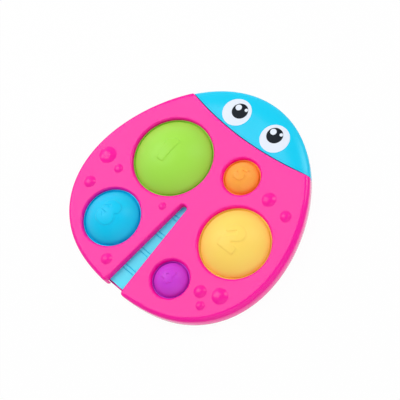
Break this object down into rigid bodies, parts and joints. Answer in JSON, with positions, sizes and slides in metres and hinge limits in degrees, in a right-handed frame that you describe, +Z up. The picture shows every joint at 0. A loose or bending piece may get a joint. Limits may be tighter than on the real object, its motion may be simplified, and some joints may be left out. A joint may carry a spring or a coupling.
{
  "type": "bubble pop fidget toy",
  "caption": "Flat ladybird-shaped hand toy: a hollow plastic case with soft silicone domes of several sizes that pop through it from either side.",
  "frame": {"origin": "middle of the toy's outline box, on the surface that it lies on", "axes": "+Z up out of the bubbles, +Y towards the head, +X towards the wing with the yellow bubble"},
  "size_m": [0.1605, 0.162, 0.0204],
  "materials": {
    "pink_plastic": "semi-gloss moulded",
    "cyan_plastic": "semi-gloss moulded",
    "screw_steel": "zinc plated",
    "white_print": "pad printed",
    "black_print": "pad printed",
    "green_silicone": "satin silicone",
    "yellow_silicone": "satin silicone",
    "blue_silicone": "satin silicone",
    "purple_silicone": "satin silicone",
    "orange_silicone": "satin silicone"
  },
  "bodies": {
    "case": {"wing_cover": "pink_plastic", "head_cover": "cyan_plastic", "belly_strip": "cyan_plastic", "back_cover": "pink_plastic", "case_screws": "screw_steel", "eye_whites": "white_print", "eye_pupils": "black_print", "eye_glints": "white_print", "green_web": "green_silicone", "yellow_web": "yellow_silicone", "blue_web": "blue_silicone", "purple_web": "purple_silicone", "orange_web": "orange_silicone"},
    "green_bubble": {"green_crown": "green_silicone"},
    "yellow_bubble": {"yellow_crown": "yellow_silicone"},
    "blue_bubble": {"blue_crown": "blue_silicone"},
    "purple_bubble": {"purple_crown": "purple_silicone"},
    "orange_bubble": {"orange_crown": "orange_silicone"}
  },
  "joints": [
    {"name": "green_pop", "type": "slide", "parent": "case", "child": "green_bubble", "axis": [0, 0, -1], "range_m": [0, 0.025], "deforming": ["green_web"]},
    {"name": "yellow_pop", "type": "slide", "parent": "case", "child": "yellow_bubble", "axis": [0, 0, -1], "range_m": [0, 0.022], "deforming": ["yellow_web"]},
    {"name": "blue_pop", "type": "slide", "parent": "case", "child": "blue_bubble", "axis": [0, 0, -1], "range_m": [0, 0.0205], "deforming": ["blue_web"]},
    {"name": "purple_pop", "type": "slide", "parent": "case", "child": "purple_bubble", "axis": [0, 0, -1], "range_m": [0, 0.015], "deforming": ["purple_web"]},
    {"name": "orange_pop", "type": "slide", "parent": "case", "child": "orange_bubble", "axis": [0, 0, -1], "range_m": [0, 0.015], "deforming": ["orange_web"]}
  ]
}
